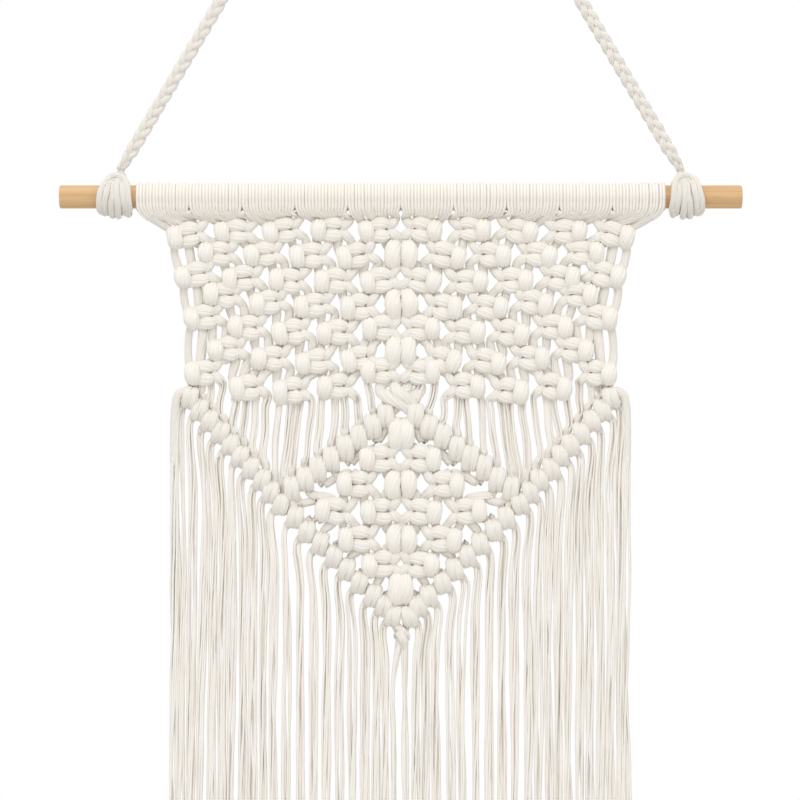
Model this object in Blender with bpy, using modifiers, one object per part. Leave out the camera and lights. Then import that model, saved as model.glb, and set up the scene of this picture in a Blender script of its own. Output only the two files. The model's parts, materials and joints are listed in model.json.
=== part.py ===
"""Macrame wall hanging on a wooden rod, with a plaited hanging cord.

Forty working cords of four strands each hang from the rod by lark's heads. They are tied in
an upper net of alternating square knots, run loose to two rows of half hitches that make a
V and a crown inside it, fill a diamond of square knots, and end in a fringe cut level.

Metres, +Z up, front towards -Y. The origin is the hanging point, where a peg or hook bears
on the underside of the plait. Heights below are "drops", measured down from the rod's axis.
"""
import math
from collections import namedtuple

import bmesh
import bpy
from mathutils import Matrix, Vector

MM = 0.001
GAP = 0.3 * MM

# Finishes: colour and roughness
WOOD = ((0.66, 0.44, 0.22), 0.55)
COTTON = ((0.86, 0.84, 0.79), 0.85)

# Rod
ROD_LENGTH = 440 * MM
ROD_RADIUS = 7.5 * MM
ROD_DROP = 304 * MM            # hanging point down to the rod's axis
ROD_SIDES = 40
ROD_EDGE = 0.6 * MM

# Plaited hanging cord and the knots that tie it to the rod
BRAID_RADIUS = 3.75 * MM
BRAID_BEND = 16 * MM           # radius of the plait's middle line over the peg
BRAID_SPACING = 16 * MM
BRAID_ARC_STEPS = 3            # steps from where a leg meets the arc up to the arc's top
KNOT_X = 184 * MM
KNOT_HALF = Vector((11.6, 11.8, 14.2)) * MM
KNOT_WAIST = 0.45              # height in the lump's own sphere where it starts to narrow
KNOT_NECK = 0.9                # width of the neck as a share of the lump's
KNOT_NECK_RISE = 3.5 * MM
BRAID_FOOT = Vector((181.2, 0, 17.0)) * MM     # x and height above the rod's axis

# Heading: lark's heads side by side round the rod, in one group for each first-row knot
HEADING_HALF = 170.5 * MM
HEADING_RADIUS = 9.2 * MM
HEADING_GROUPS = 10
HEADING_GROOVE = 0.5 * MM
HEADING_DRAWN = 0.12           # share of a group's width that each drawn-in edge takes
HEADING_MERGE = 0.01 * MM
HEADING_SIDES = 20

# Knotted panel
PANEL_Y = 1.5 * MM
PAD_HALF_WIDTH = 11.4 * MM
PAD_HALF_HEIGHT = 6.6 * MM
PAD_THICK = 8.0 * MM
RIM_SHARE = 0.55               # rim, loose cord and edge thickness as a share of the pad's
CORD_SHARE = 0.3
NET_TOP_DROP = 9.8 * MM
RAIL_HEIGHT = 1.6 * MM
RAIL_STEPS = (-0.47, -0.15, 0.15, 0.47)        # places along the rail, in group widths
PAD_ANGLES = (22.5, 75, 105, 157.5, 202.5, 255, 285, 337.5)
COMB_PAD_ANGLES = (22.5, 75, 105, 157.5, 205, 228, 236, 262, 278, 304, 312, 335)
CORD_HALF = 2.3 * MM           # half the width of one loose cord of four strands
SHORTEST_CORD = 2 * MM         # loose cords shorter than this are left inside the knots

NetRow = namedtuple("NetRow", "knots half_span drop_centre drop_middle drop_edge")
NET_ROWS = (
    NetRow(10, 138.9, 21.3, 21.3, 23.9),
    NetRow(9, 119.5, 36.8, 37.5, 36.2),
    NetRow(10, 133.1, 53.0, 54.3, 49.7),
    NetRow(9, 115.6, 69.1, 70.4, 63.3),
    NetRow(10, 128.6, 82.0, 87.5, 77.2),
    NetRow(9, 113.1, 98.8, 106.0, 98.2),
    NetRow(10, 128.6, 105.4, 125.1, 113.7),
)
DIAMOND_ROWS = (
    NetRow(1, 0.0, 152.8, 152.8, 152.8),
    NetRow(2, 14.9, 169.0, 169.0, 169.0),
    NetRow(3, 29.4, 185.5, 185.5, 185.5),
    NetRow(4, 43.9, 203.0, 203.0, 203.0),
    NetRow(3, 28.4, 221.0, 221.0, 221.0),
    NetRow(2, 13.6, 237.0, 237.0, 237.0),
    NetRow(1, 0.0, 252.8, 252.8, 252.8),
)
DIAMOND_PAD = 0.86             # the diamond's pads against the net's

# Rows of half hitches: each side's line runs from its start to its end, one bump a hitch
HITCH_RADIUS = 3.7 * MM
HITCH_WAIST = 0.8              # radius between two hitches as a share of a hitch's
HitchLine = namedtuple("HitchLine", "hitches start_x start_drop end_x end_drop")
V_UPPER = HitchLine(10, 136.2, 129.2, 76.9, 197.7)
V_LOWER = HitchLine(7, 68.2, 206.6, 18.1, 257.1)
V_FOOT = ((11.6, 263.6), (6.6, 269.6))         # x and drop of the last two hitches
CROWN_LINE = HitchLine(8, 9.4, 141.3, 71.0, 188.6)
CROWN_SLOPE = 1.28             # a line's clearance measured straight down, against square to it
V_SLOPE = 1.48
TIP_KNOT = (284.2, 5.2, 8.6)                   # drop, half width, half height
CROWN_KNOT = (128.2, 7.4, 6.2)
KNOT_HALF_DEPTH = 4.2 * MM

# Fringe
FRINGE_DROP = 505 * MM
FRINGE_TEETH = 41
FRINGE_HALF_TOP = 138.5 * MM
FRINGE_HALF_BOTTOM = 143.5 * MM
FRINGE_ROOT = 4.0 * MM
FRINGE_THICK = 2.4 * MM
TOOTH_HALF = 2.5 * MM
TOOTH_SWAY = 0.5 * MM
TOOTH_SECTIONS = 3
SWAY_TURNS = (2.4, 5.0)        # radians of sway from tooth to tooth, and down a tooth


def clear_scene():
    """Empty the file this script runs in."""
    for thing in list(bpy.data.objects):
        bpy.data.objects.remove(thing, do_unlink=True)


def new_collection(name):
    """A collection under the scene's own."""
    group = bpy.data.collections.new(name)
    bpy.context.scene.collection.children.link(group)
    return group


def material(name, colour, roughness):
    """A Principled material with the part's colour and roughness."""
    made = bpy.data.materials.new(name)
    made.use_nodes = True
    shader = made.node_tree.nodes["Principled BSDF"]
    shader.inputs["Base Color"].default_value = (*colour, 1.0)
    shader.inputs["Roughness"].default_value = roughness
    shader.inputs["Metallic"].default_value = 0.0
    made.diffuse_color = (*colour, 1.0)
    return made


def add_object(name, data, group, finish):
    """An object of the given data, in its collection, with one material."""
    thing = bpy.data.objects.new(name, data)
    group.objects.link(thing)
    data.materials.append(finish)
    return thing


def mesh_object(name, mesh, group, finish, smooth_angle=math.radians(40)):
    """An object from a bmesh, smooth but for its sharp edges."""
    data = bpy.data.meshes.new(name)
    mesh.to_mesh(data)
    mesh.free()
    data.shade_smooth()
    data.set_sharp_from_angle(angle=smooth_angle)
    return add_object(name, data, group, finish)


def at_drop(x, drop, y=0.0):
    """A point by its x and its drop below the rod's axis."""
    return Vector((x, y, -ROD_DROP - drop))


# ---------------------------------------------------------------- rod, hanging cord, heading

def build_rod(group, finish):
    """A round wooden rod with flat ends and broken edges."""
    mesh = bmesh.new()
    along_x = Matrix.Rotation(math.pi / 2, 4, "Y")
    bmesh.ops.create_cone(mesh, cap_ends=True, segments=ROD_SIDES, radius1=ROD_RADIUS,
                          radius2=ROD_RADIUS, depth=ROD_LENGTH, matrix=along_x)
    rod = mesh_object("rod", mesh, group, finish)
    rod.location = at_drop(0, 0)
    edge = rod.modifiers.new("edge", "BEVEL")
    edge.width = ROD_EDGE
    edge.segments = 1
    edge.limit_method = "ANGLE"
    edge.angle_limit = math.radians(60)
    return rod


def braid_points():
    """The plait's middle line: two straight legs joined by an arc over the peg."""
    centre = Vector((0, 0, BRAID_RADIUS - BRAID_BEND))
    foot = Vector((BRAID_FOOT.x, 0, -ROD_DROP + BRAID_FOOT.z))
    reach = foot - centre
    turn = math.acos(BRAID_BEND / reach.length)
    facing = math.atan2(reach.z, reach.x) + turn
    touch = centre + BRAID_BEND * Vector((math.cos(facing), 0, math.sin(facing)))
    steps = round((touch - foot).length / BRAID_SPACING)
    right = [foot.lerp(touch, i / steps) for i in range(steps)]
    for i in range(BRAID_ARC_STEPS):
        angle = facing + (math.pi / 2 - facing) * i / BRAID_ARC_STEPS
        right.append(centre + BRAID_BEND * Vector((math.cos(angle), 0, math.sin(angle))))
    top = centre + Vector((0, 0, BRAID_BEND))
    left = [Vector((-point.x, 0, point.z)) for point in right]
    return left + [top] + right[::-1]


def tube(name, points, radius, group, finish, shares=None):
    """A poly curve with a round bevel and filled caps, its radius scaled point by point."""
    data = bpy.data.curves.new(name, "CURVE")
    data.dimensions = "3D"
    data.bevel_depth = radius
    data.bevel_resolution = 2
    data.use_fill_caps = True
    spline = data.splines.new("POLY")
    spline.points.add(len(points) - 1)
    for i, point in enumerate(points):
        spline.points[i].co = (*point, 1.0)
        spline.points[i].radius = shares[i] if shares else 1.0
    return add_object(name, data, group, finish)


def build_braid(group, finish):
    """The plaited hanging cord, from knot to knot."""
    return tube("hanger_braid", braid_points(), BRAID_RADIUS, group, finish)


def rod_cutter(group):
    """The bore that the rod needs, a gap wider than the rod."""
    mesh = bmesh.new()
    along_x = Matrix.Rotation(math.pi / 2, 4, "Y")
    bmesh.ops.create_cone(mesh, cap_ends=True, segments=ROD_SIDES, radius1=ROD_RADIUS + GAP,
                          radius2=ROD_RADIUS + GAP, depth=ROD_LENGTH, matrix=along_x)
    data = bpy.data.meshes.new("rod_bore")
    mesh.to_mesh(data)
    mesh.free()
    cutter = bpy.data.objects.new("rod_bore", data)
    cutter.location = at_drop(0, 0)
    cutter.hide_render = True
    cutter.display_type = "WIRE"
    group.objects.link(cutter)
    return cutter


def build_hanger_knot(side, cutter, group, finish):
    """The plait's end tied round the rod: a rounded lump that narrows up into the plait."""
    mesh = bmesh.new()
    bmesh.ops.create_uvsphere(mesh, u_segments=14, v_segments=10, radius=1.0)
    foot = Vector((side * BRAID_FOOT.x, 0, BRAID_FOOT.z))
    centre = Vector((side * KNOT_X, 0, 0))
    for vert in mesh.verts:
        unit = vert.co.copy()
        place = centre + Vector(unit[i] * KNOT_HALF[i] for i in range(3))
        rise = max(0.0, unit.z - KNOT_WAIST) / (1 - KNOT_WAIST)
        neck = foot + Vector((place.x - centre.x, place.y, 0)) * KNOT_NECK
        neck.z = place.z + rise * KNOT_NECK_RISE
        vert.co = place.lerp(neck, rise)
    points = braid_points()
    along = (points[1] - points[0]).normalized()
    along.x *= -side
    bmesh.ops.bisect_plane(mesh, geom=mesh.verts[:] + mesh.edges[:] + mesh.faces[:],
                           plane_co=foot - along * GAP, plane_no=along, clear_outer=True)
    bmesh.ops.holes_fill(mesh, edges=[edge for edge in mesh.edges if edge.is_boundary])
    name = "hanger_knot_right" if side > 0 else "hanger_knot_left"
    knot = mesh_object(name, mesh, group, finish)
    knot.location = at_drop(0, 0)
    bore = knot.modifiers.new("bore", "BOOLEAN")
    bore.operation = "DIFFERENCE"
    bore.object = cutter
    return knot


def build_heading(group, finish):
    """A sleeve of lark's heads round the rod, drawn in between the groups."""
    inner = (ROD_RADIUS + GAP) / math.cos(math.pi / HEADING_SIDES)
    pitch = 2 * HEADING_HALF / HEADING_GROUPS
    profile = [(HEADING_HALF, inner), (HEADING_HALF, HEADING_RADIUS - HEADING_GROOVE)]
    for group_index in range(HEADING_GROUPS):
        right_edge = HEADING_HALF - group_index * pitch
        if group_index:
            profile.append((right_edge, HEADING_RADIUS - HEADING_GROOVE))
        profile.append((right_edge - HEADING_DRAWN * pitch, HEADING_RADIUS))
        profile.append((right_edge - (1 - HEADING_DRAWN) * pitch, HEADING_RADIUS))
    profile.append((-HEADING_HALF, HEADING_RADIUS - HEADING_GROOVE))
    profile.append((-HEADING_HALF, inner))
    mesh = bmesh.new()
    verts = [mesh.verts.new((x, 0, z)) for x, z in profile]
    for i, vert in enumerate(verts):
        mesh.edges.new((vert, verts[(i + 1) % len(verts)]))
    heading = mesh_object("heading", mesh, group, finish)
    heading.location = at_drop(0, 0)
    turned = heading.modifiers.new("turned", "SCREW")
    turned.axis = "X"
    turned.angle = 2 * math.pi
    turned.steps = HEADING_SIDES
    turned.render_steps = HEADING_SIDES
    turned.use_merge_vertices = True
    turned.merge_threshold = HEADING_MERGE
    turned.use_normal_calculate = True
    return heading


# ---------------------------------------------------------------- knotted panel

def row_places(row):
    """The x and drop of each knot in a row, left to right."""
    places = []
    for i in range(row.knots):
        share = 0.0 if row.knots == 1 else 2 * i / (row.knots - 1) - 1
        t = abs(share)
        drop = (row.drop_centre * (1 - t) * (1 - 2 * t) + row.drop_middle * 4 * t * (1 - t)
                + row.drop_edge * t * (2 * t - 1))
        places.append((share * row.half_span * MM, drop * MM))
    return places


def line_places(line):
    """The x and drop of each hitch on one side's line, on the right-hand side."""
    places = []
    for i in range(line.hitches):
        t = i / (line.hitches - 1)
        x = line.start_x + (line.end_x - line.start_x) * t
        drop = line.start_drop + (line.end_drop - line.start_drop) * t
        places.append((x * MM, drop * MM))
    return places


def v_places():
    """The right-hand V's hitches from its top to the last one above the tip knot."""
    foot = [(x * MM, drop * MM) for x, drop in V_FOOT]
    return line_places(V_UPPER) + line_places(V_LOWER) + foot


def drop_on_line(places, x):
    """The drop of a line of hitches at x, carried on straight past its ends."""
    x = abs(x)
    ordered = sorted(places)
    for (x1, drop1), (x2, drop2) in zip(ordered, ordered[1:]):
        if x <= x2 or (x2, drop2) == ordered[-1]:
            return drop1 + (drop2 - drop1) * (x - x1) / (x2 - x1)
    return ordered[-1][1]


class FlatWork:
    """A flat mesh of knots and cords that a Solidify modifier gives its depth, vertex by vertex."""

    def __init__(self, full_thickness):
        self.mesh = bmesh.new()
        self.share = self.mesh.verts.layers.deform.verify()
        self.full_thickness = full_thickness

    def point(self, x, drop, share):
        vert = self.mesh.verts.new(at_drop(x, drop, PANEL_Y))
        vert[self.share][0] = share
        return vert

    def face(self, *verts):
        return self.mesh.faces.new(verts)

    def pad(self, x, drop, size=1.0, angles=PAD_ANGLES):
        """One knot: a thick middle and a thinner rim. Gives back the rim, anticlockwise from +X."""
        middle = self.point(x, drop, 1.0)
        rim = []
        for angle in angles:
            turn = math.radians(angle)
            rim.append(self.point(x + size * PAD_HALF_WIDTH * math.cos(turn),
                                  drop - size * PAD_HALF_HEIGHT * math.sin(turn), RIM_SHARE))
        for i, vert in enumerate(rim):
            self.face(middle, vert, rim[(i + 1) % len(rim)])
        return rim

    def link_down_left(self, upper, lower):
        """The cords from a knot to the knot below on its left."""
        self.face(upper[4], lower[1], lower[0], upper[5])

    def link_down_right(self, upper, lower):
        """The cords from a knot to the knot below on its right."""
        self.face(upper[6], lower[3], lower[2], upper[7])

    def strand(self, top_left, top_right, sections):
        """A loose cord: from two rim points down through sections of x, left and right drop."""
        left = top_left
        right = top_right
        for x, half, drop_left, drop_right in sections:
            next_left = self.point(x - half, drop_left, CORD_SHARE)
            next_right = self.point(x + half, drop_right, CORD_SHARE)
            self.face(left, next_left, next_right, right)
            left = next_left
            right = next_right

    def finish(self, name, group, finish):
        """The object, with its thickness from the vertex group."""
        bmesh.ops.recalc_face_normals(self.mesh, faces=self.mesh.faces[:])
        thing = mesh_object(name, self.mesh, group, finish)
        shares = thing.vertex_groups.new(name="thickness")
        depth = thing.modifiers.new("depth", "SOLIDIFY")
        depth.thickness = self.full_thickness
        depth.offset = 0.0
        depth.vertex_group = shares.name
        return thing


def link_rows(work, rows):
    """Tie each knot to its neighbours in the next row, which sits half a pitch to the side."""
    for upper, lower in zip(rows, rows[1:]):
        shift = 0 if len(lower) > len(upper) else -1
        for i, rim in enumerate(upper):
            if 0 <= i + shift < len(lower):
                work.link_down_left(rim, lower[i + shift])
            if 0 <= i + shift + 1 < len(lower):
                work.link_down_right(rim, lower[i + shift + 1])


def net_rail(work, first_row):
    """The top edge of the net under the heading, and the cords from it to the first row."""
    pitch = 2 * HEADING_HALF / HEADING_GROUPS
    lows = []
    for i, rim in enumerate(first_row):
        x = (i + 0.5) * pitch - HEADING_HALF
        low = []
        for step in RAIL_STEPS:
            low.append(work.point(x + step * pitch, NET_TOP_DROP + RAIL_HEIGHT, RIM_SHARE))
        for (upper_a, upper_b), (rim_a, rim_b) in zip(zip(low, low[1:]), ((3, 2), (2, 1), (1, 0))):
            work.face(upper_a, rim[rim_a], rim[rim_b], upper_b)
        lows.extend(low)
    tops = [work.point(vert.co.x, NET_TOP_DROP, RIM_SHARE) for vert in lows]
    for i in range(len(lows) - 1):
        work.face(tops[i], lows[i], lows[i + 1], tops[i + 1])


def side_cords(work, rows):
    """The two outer cords that pass each even row at the net's edges."""
    for upper, lower in zip(rows[0::2], rows[2::2]):
        work.face(upper[0][4], lower[0][3], lower[0][2], upper[0][5])
        work.face(upper[-1][6], lower[-1][1], lower[-1][0], upper[-1][7])


def loose_cords(work, last_row, places):
    """Four loose cords below each last-row knot, down to the hitches that they go into."""
    crown = line_places(CROWN_LINE)
    v_line = v_places()
    crown_clear = (HITCH_RADIUS + GAP) * CROWN_SLOPE
    v_clear = (HITCH_RADIUS + GAP) * V_SLOPE
    targets = [(x, v_line, v_clear) for x, _ in line_places(V_UPPER)]
    targets += [(x, crown, crown_clear) for x, _ in crown[::-1]]
    for rim, (knot_x, knot_drop) in zip(last_row, places):
        side = 1 if knot_x > 0 else -1
        order = round((abs(places[-1][0]) - abs(knot_x)) / (places[1][0] - places[0][0]))
        for cord in range(4):
            count = 4 * order + cord - 1
            if not 0 <= count < len(targets):
                continue
            x, line, clear = targets[count]
            slot = cord if side < 0 else 3 - cord
            top = rim[4 + 2 * slot], rim[5 + 2 * slot]
            ends = []
            for edge_x in (side * x - CORD_HALF, side * x + CORD_HALF):
                ends.append(drop_on_line(line, edge_x) - clear)
            if min(ends) < knot_drop + PAD_HALF_HEIGHT + SHORTEST_CORD:
                continue
            work.strand(*top, [(side * x, CORD_HALF, *ends)])


def build_upper_net(group, finish):
    """The net of alternating square knots, with the loose cords that hang from its last row."""
    work = FlatWork(PAD_THICK)
    rows = []
    for row in NET_ROWS:
        angles = COMB_PAD_ANGLES if row is NET_ROWS[-1] else PAD_ANGLES
        rows.append([work.pad(x, drop, angles=angles) for x, drop in row_places(row)])
    link_rows(work, rows)
    side_cords(work, rows)
    net_rail(work, rows[0])
    loose_cords(work, rows[-1], row_places(NET_ROWS[-1]))
    return work.finish("upper_net", group, finish)


def beside_line(start, end, point, clear):
    """The place straight across from a point on a line's near side, clear of the line's cords."""
    along = (end - start).normalized()
    across = Vector((-along.y, along.x))
    if (point - start).dot(across) < 0:
        across.negate()
    return start + along * (point - start).dot(along) + across * clear


def edge_cords(work, line, corners, side):
    """The cords between a knot at the diamond's edge and the hitches beside it."""
    start = Vector((side * line[0][0], line[0][1]))
    end = Vector((side * line[-1][0], line[-1][1]))
    verts = []
    for corner in corners:
        near = Vector((corner.co.x, -ROD_DROP - corner.co.z))
        place = beside_line(start, end, near, HITCH_RADIUS + GAP)
        verts.append(work.point(place.x, place.y, RIM_SHARE))
    work.face(corners[0], corners[1], verts[1], verts[0])


def build_diamond(group, finish):
    """The diamond of square knots between the crown and the V."""
    work = FlatWork(PAD_THICK)
    rows = [[work.pad(x, drop, DIAMOND_PAD) for x, drop in row_places(row)] for row in DIAMOND_ROWS]
    link_rows(work, rows)
    widest = len(rows) // 2
    crown = line_places(CROWN_LINE)
    v_lower = line_places(V_LOWER)
    for i, row in enumerate(rows):
        if i <= widest:
            edge_cords(work, crown, (row[0][3], row[0][2]), -1)
            edge_cords(work, crown, (row[-1][1], row[-1][0]), 1)
        if i >= widest:
            edge_cords(work, v_lower, (row[0][4], row[0][5]), -1)
            edge_cords(work, v_lower, (row[-1][6], row[-1][7]), 1)
    return work.finish("diamond_net", group, finish)


def build_hitch_row(name, side, places, group, finish):
    """A row of half hitches: one bump a hitch, with a waist between."""
    points = []
    shares = []
    for i, (x, drop) in enumerate(places):
        here = at_drop(side * x, drop, PANEL_Y)
        if i:
            points.append((points[-1] + here) / 2)
            shares.append(HITCH_WAIST)
        points.append(here)
        shares.append(1.0)
    return tube(name, points, HITCH_RADIUS, group, finish, shares)


def build_end_knot(name, sizes, group, finish):
    """A single knot on the centre line."""
    drop, half_width, half_height = (size * MM for size in sizes)
    mesh = bmesh.new()
    bmesh.ops.create_uvsphere(mesh, u_segments=12, v_segments=8, radius=1.0)
    bmesh.ops.scale(mesh, vec=(half_width, KNOT_HALF_DEPTH, half_height), verts=mesh.verts)
    knot = mesh_object(name, mesh, group, finish)
    knot.location = at_drop(0, drop, PANEL_Y)
    return knot


def fringe_top(x):
    """The drop at which the fringe starts: just under the V, and under the tip knot."""
    line = v_places()
    below_line = drop_on_line(line, x) + (HITCH_RADIUS + GAP) * V_SLOPE
    below_knot = (TIP_KNOT[0] + TIP_KNOT[2]) * MM + GAP
    inner = V_FOOT[-1][0] * MM + HITCH_RADIUS + GAP
    if abs(x) < inner:
        return below_knot
    return below_line


def build_fringe(group, finish):
    """One comb: a root along the V's underside and a tooth for each cord, cut level."""
    work = FlatWork(FRINGE_THICK)
    middle = (FRINGE_TEETH - 1) / 2
    previous = None
    for i in range(FRINGE_TEETH):
        share = (i - middle) / middle
        top_x = share * FRINGE_HALF_TOP
        bottom_x = share * FRINGE_HALF_BOTTOM
        edges = (top_x - TOOTH_HALF, top_x + TOOTH_HALF)
        tops = [work.point(x, fringe_top(x), 1.0) for x in edges]
        roots = [work.point(x, fringe_top(x) + FRINGE_ROOT, 1.0) for x in edges]
        work.face(tops[0], roots[0], roots[1], tops[1])
        if previous:
            work.face(previous[0], previous[1], roots[0], tops[0])
        previous = (tops[1], roots[1])
        left, right = roots
        for k in range(1, TOOTH_SECTIONS + 1):
            t = k / TOOTH_SECTIONS
            sway = TOOTH_SWAY * math.sin(SWAY_TURNS[0] * i + SWAY_TURNS[1] * t)
            if k == TOOTH_SECTIONS:
                sway = 0.0
            x = top_x + (bottom_x - top_x) * t + sway
            start = fringe_top(top_x) + FRINGE_ROOT
            drop = start + (FRINGE_DROP - start) * t
            next_left = work.point(x - TOOTH_HALF, drop, 1.0)
            next_right = work.point(x + TOOTH_HALF, drop, 1.0)
            work.face(left, next_left, next_right, right)
            left = next_left
            right = next_right
    return work.finish("fringe", group, finish)


def main():
    """Build the hanging."""
    clear_scene()
    group = new_collection("macrame_wall_hanging")
    cutters = new_collection("cutters")
    wood = material("wood", *WOOD)
    cotton = material("cotton_cord", *COTTON)
    plait = material("plaited_cord", *COTTON)

    build_rod(group, wood)
    build_braid(group, plait)
    cutter = rod_cutter(cutters)
    for side in (-1, 1):
        build_hanger_knot(side, cutter, group, plait)
    build_heading(group, cotton)
    build_upper_net(group, cotton)
    build_diamond(group, cotton)
    for side, word in ((-1, "left"), (1, "right")):
        build_hitch_row("hitch_v_" + word, side, v_places(), group, cotton)
        build_hitch_row("hitch_crown_" + word, side, line_places(CROWN_LINE), group, cotton)
    build_end_knot("tip_knot", TIP_KNOT, group, cotton)
    build_end_knot("crown_knot", CROWN_KNOT, group, cotton)
    build_fringe(group, cotton)


main()
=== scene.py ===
"""Macrame wall hanging on a wooden rod: the looks, strand by strand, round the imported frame.

The right-hand half is the left-hand half mirrored, with its own small unevenness. Lengths in
the tables are millimetres; x and z are measured from the middle of the rod's axis, and
"front" is how far a point stands before the knotted panel's own plane.
"""
import json
import math
from collections import namedtuple
from itertools import groupby

import bpy
import numpy as np
from bpy.props import FloatProperty, FloatVectorProperty, PointerProperty
from bpy.types import Operator, Panel, PropertyGroup
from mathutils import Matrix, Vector

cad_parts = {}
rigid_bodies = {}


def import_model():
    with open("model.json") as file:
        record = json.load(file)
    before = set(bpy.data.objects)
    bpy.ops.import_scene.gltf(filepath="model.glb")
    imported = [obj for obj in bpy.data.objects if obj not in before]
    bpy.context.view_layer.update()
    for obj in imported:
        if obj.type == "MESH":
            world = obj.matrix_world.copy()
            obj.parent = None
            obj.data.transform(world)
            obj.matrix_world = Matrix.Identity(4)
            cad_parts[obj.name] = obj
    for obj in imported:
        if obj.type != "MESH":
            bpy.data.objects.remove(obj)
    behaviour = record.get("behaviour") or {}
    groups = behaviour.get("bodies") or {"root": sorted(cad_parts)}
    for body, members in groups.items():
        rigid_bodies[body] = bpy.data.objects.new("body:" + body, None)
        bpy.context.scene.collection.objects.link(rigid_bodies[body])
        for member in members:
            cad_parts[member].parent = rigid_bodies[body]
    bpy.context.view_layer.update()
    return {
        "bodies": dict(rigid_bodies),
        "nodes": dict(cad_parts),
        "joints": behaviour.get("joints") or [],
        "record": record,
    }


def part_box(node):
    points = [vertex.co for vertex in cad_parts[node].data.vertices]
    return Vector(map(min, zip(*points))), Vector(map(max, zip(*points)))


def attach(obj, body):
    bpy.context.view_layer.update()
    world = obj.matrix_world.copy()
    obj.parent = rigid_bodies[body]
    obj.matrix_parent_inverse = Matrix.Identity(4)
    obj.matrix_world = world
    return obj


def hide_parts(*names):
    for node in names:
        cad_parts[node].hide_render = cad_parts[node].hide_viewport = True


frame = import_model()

bl_info = {
    "name": "Macrame wall hanging",
    "version": (1, 0, 0),
    "blender": (4, 5, 0),
    "location": "3D View > Sidebar > Macrame",
    "description": "Ties a macrame wall hanging from cotton strands on a wooden rod",
    "category": "Object",
}

MM = 0.001
ROD_LOW, ROD_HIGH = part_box("rod")
ROD_Z = (ROD_LOW.z + ROD_HIGH.z) / 2
ROD_RADIUS = (ROD_HIGH.z - ROD_LOW.z) / 2
NET_LOW, NET_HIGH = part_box("upper_net")
PANEL_Y = (NET_LOW.y + NET_HIGH.y) / 2
HEADING_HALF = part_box("heading")[1].x
FRINGE_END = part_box("fringe")[0].z - ROD_Z

# ---- layout of the panel

NetRow = namedtuple("NetRow", "knots half_span drop_centre drop_middle drop_edge")
NET_ROWS = (
    NetRow(10, 138.9, 21.3, 21.3, 23.9),
    NetRow(9, 119.5, 36.8, 37.5, 36.2),
    NetRow(10, 133.1, 53.0, 54.3, 49.7),
    NetRow(9, 115.6, 69.1, 70.4, 63.3),
    NetRow(10, 128.6, 82.0, 87.5, 77.2),
    NetRow(9, 113.1, 98.8, 106.0, 98.2),
    NetRow(10, 128.6, 105.4, 125.1, 113.7),
)
DIAMOND_ROWS = tuple(NetRow(knots, half_span, drop, drop, drop) for knots, half_span, drop in (
    (1, 0.0, 152.8), (2, 14.9, 169.0), (3, 29.4, 185.5), (4, 43.9, 203.0),
    (3, 28.4, 221.0), (2, 13.6, 237.0), (1, 0.0, 252.8),
))
HitchLine = namedtuple("HitchLine", "hitches start_x start_drop end_x end_drop")
V_UPPER = HitchLine(10, 136.2, 129.2, 76.9, 197.7)
V_LOWER = HitchLine(7, 68.2, 206.6, 18.1, 257.1)
V_FOOT = ((10.9, 263.8), (5.6, 270.6))
CROWN_LINE = HitchLine(8, 9.4, 141.3, 71.0, 188.6)

# A knot's own tables: u to the right and v up from its middle, front, the direction across
# the flattened cord in degrees, and the cord's width and depth there.
Key = namedtuple("Key", "u v front across width depth")


def table(*rows):
    """A table of keys."""
    return tuple(Key(*row) for row in rows)


OUTER_TIE = table(
    (-10.2, 6.0, -0.6, 20, 5.4, 3.6), (-7.6, 3.8, 0.9, 65, 6.4, 4.0), (-3.6, 3.7, 2.6, 88, 8.2, 4.8),
    (1.0, 4.1, 3.6, 95, 9.0, 5.4), (4.8, 3.0, 2.2, 65, 6.6, 4.6), (6.2, 0.0, 0.6, 0, 4.2, 3.8),
    (4.8, -3.0, 2.0, -65, 6.4, 4.6), (1.0, -4.0, 3.4, -93, 8.8, 5.4), (-3.6, -3.7, 2.5, -88, 8.0, 4.8),
    (-7.6, -4.2, 0.9, -62, 6.2, 4.0), (-10.0, -6.5, -0.5, 0, 5.4, 3.6),
)
INNER_TIE = table(
    (10.4, 6.9, 0.8, -32, 5.4, 4.0), (8.0, 3.8, 2.8, -38, 6.2, 4.4), (5.4, 1.2, 1.4, -60, 5.6, 4.0),
    (1.5, 1.2, -2.3, -90, 6.0, 3.4), (-3.5, 3.2, -2.5, -105, 6.0, 3.4), (-7.2, 4.4, -1.8, -55, 6.0, 3.6),
    (-8.3, 6.0, 1.0, 0, 8.0, 4.2), (-8.4, 3.9, 4.2, 0, 9.6, 5.0), (-8.4, 0.0, 5.4, 0, 10.2, 5.6),
    (-8.3, -4.0, 4.1, 0, 9.6, 5.0), (-8.0, -6.0, 0.9, 0, 7.8, 4.2), (-6.6, -4.6, -1.9, 55, 5.8, 3.6),
    (-2.0, -3.2, -2.5, 100, 6.0, 3.4), (2.2, -1.6, -2.3, 95, 5.6, 3.4), (5.2, -1.2, 1.0, 65, 5.6, 4.0),
    (7.8, -4.0, 2.8, 38, 6.4, 4.4), (10.6, -6.9, 0.8, 32, 5.6, 4.0),
)
OUTER_FILLER = table(
    (-2.4, 6.3, 0.0, 0, 6.0, 4.0), (-2.0, 0.0, 0.0, 0, 4.8, 3.4), (-2.0, -6.3, 0.0, 0, 6.0, 4.0),
)
INNER_FILLER = table(
    (3.2, 6.3, 0.0, 0, 6.0, 4.0), (2.6, 0.0, 0.0, 0, 4.8, 3.4), (3.0, -6.3, 0.0, 0, 6.0, 4.0),
)
SQUARE_KNOT = (OUTER_TIE, OUTER_FILLER, INNER_FILLER, INNER_TIE)
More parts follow.
